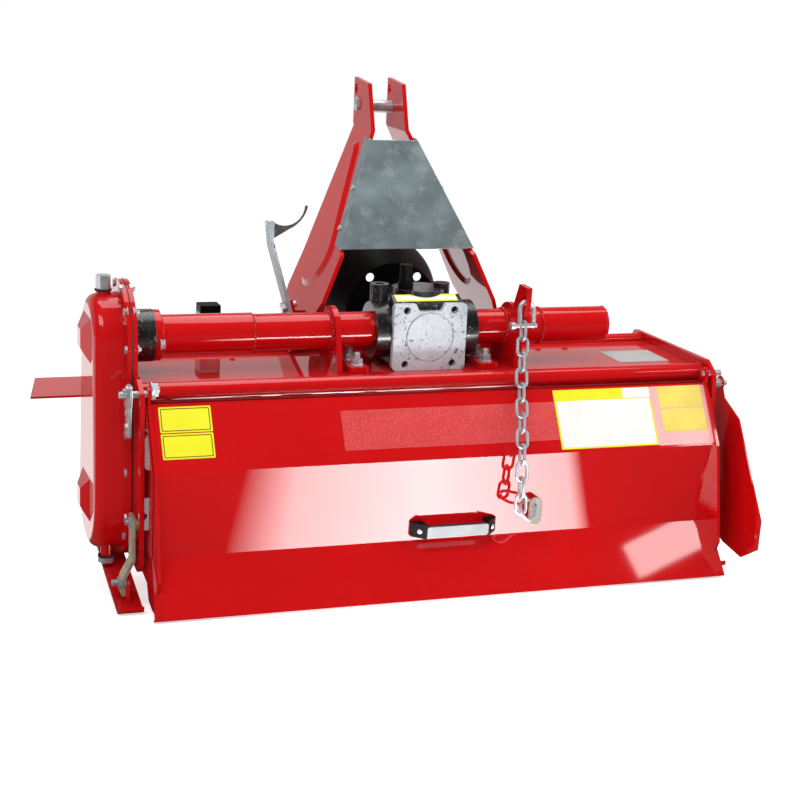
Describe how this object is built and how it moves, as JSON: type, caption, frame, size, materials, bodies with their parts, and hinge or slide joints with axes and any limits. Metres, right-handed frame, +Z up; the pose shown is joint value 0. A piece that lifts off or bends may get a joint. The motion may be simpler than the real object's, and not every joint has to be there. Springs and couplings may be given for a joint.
{
  "type": "rotary tiller",
  "caption": "Rotary tiller for a compact tractor, with side gear case, hitch frame, hinged tailgate on a chain, skids and a parking stand.",
  "frame": {"origin": "on the floor under the middle of the bounding box of the machine as it parks", "axes": "+X to the right seen from behind, along the rotor; +Y forward to the tractor; +Z up from the floor"},
  "size_m": [1.263, 0.622, 0.9338],
  "materials": {
    "red_paint": "gloss",
    "black_cast": "painted",
    "machined_cast": "machined",
    "galvanised": "galvanised",
    "zinc": "zinc plated",
    "yellow_zinc": "yellow chromate",
    "black_plastic": "matt",
    "gasket": "matt",
    "bare_steel": "machined"
  },
  "bodies": {
    "frame": {"bearing_housing": "black_cast", "case_gasket": "gasket", "chain_bracket": "red_paint", "deck": "red_paint", "deflector_pin": "zinc", "drain_plug": "zinc", "fill_cap": "zinc", "front_guard": "red_paint", "gear_case": "red_paint", "gearbox_caps": "black_plastic", "gearbox_cover": "machined_cast", "gearbox_feet": "red_paint", "gearbox_housing": "black_cast", "hinge_bolts": "zinc", "hinge_strap": "zinc", "hitch_guard": "galvanised", "hitch_leg_left": "red_paint", "hitch_leg_right": "red_paint", "holder_bolt": "zinc", "holder_bracket": "red_paint", "hood_rails": "red_paint", "lower_hitch_plates": "red_paint", "main_tube_left": "red_paint", "main_tube_right": "red_paint", "rotor_bearing": "black_cast", "shackle": "zinc", "shaft_shield": "black_plastic", "side_plate_left": "red_paint", "side_plate_right": "red_paint", "skid_left": "red_paint", "skid_right": "red_paint", "skid_straps": "yellow_zinc", "stand_socket": "red_paint", "top_link_bolt": "zinc", "tube_saddles": "red_paint"},
    "rotor": {"rotor": "red_paint"},
    "input": {"input_shaft": "bare_steel"},
    "tailgate": {"tailgate_sheet": "red_paint", "tailgate_ends": "red_paint", "tailgate_handle": "black_plastic", "handle_brackets": "black_plastic", "chain_lug": "yellow_zinc"},
    "chain": {"chain": "zinc"},
    "deflector": {"side_deflector": "red_paint"},
    "stand": {"stand_leg": "galvanised", "stand_cap": "black_plastic"},
    "holder": {"holder_arm": "zinc"}
  },
  "joints": [
    {"name": "rotor_spin", "type": "hinge", "parent": "frame", "child": "rotor", "pos_m": [0.0525, 0.01257, 0.19256], "axis": [1, 0, 0], "continuous": true},
    {"name": "input_spin", "type": "hinge", "parent": "frame", "child": "input", "pos_m": [0.0585, 0.19045, 0.49325], "axis": [0, 0.9903, 0.1392], "continuous": true},
    {"name": "tailgate_hinge", "type": "hinge", "parent": "frame", "child": "tailgate", "pos_m": [0.0525, -0.16649, 0.37441], "axis": [-1, 0, 0], "range_deg": [0, 65]},
    {"name": "chain_swing", "type": "hinge", "parent": "frame", "child": "chain", "pos_m": [0.2275, -0.13428, 0.46927], "axis": [-1, 0, 0], "range_deg": [0, 56]},
    {"name": "deflector_swing", "type": "hinge", "parent": "frame", "child": "deflector", "pos_m": [0.6175, -0.1555, 0.35374], "axis": [-1, 0, 0], "range_deg": [0, 60]},
    {"name": "stand_slide", "type": "slide", "parent": "frame", "child": "stand", "axis": [0, -0.1392, 0.9903], "range_m": [0, 0.25]},
    {"name": "holder_fold", "type": "hinge", "parent": "frame", "child": "holder", "pos_m": [-0.1649, 0.08058, 0.49901], "axis": [-0.9578, 0.04, -0.2846], "range_deg": [0, 60]}
  ],
  "couplings": [
    {"joint": "input_spin", "follows": "rotor_spin", "ratio": -2.57},
    {"joint": "chain_swing", "follows": "tailgate_hinge", "ratio": 0.85}
  ]
}
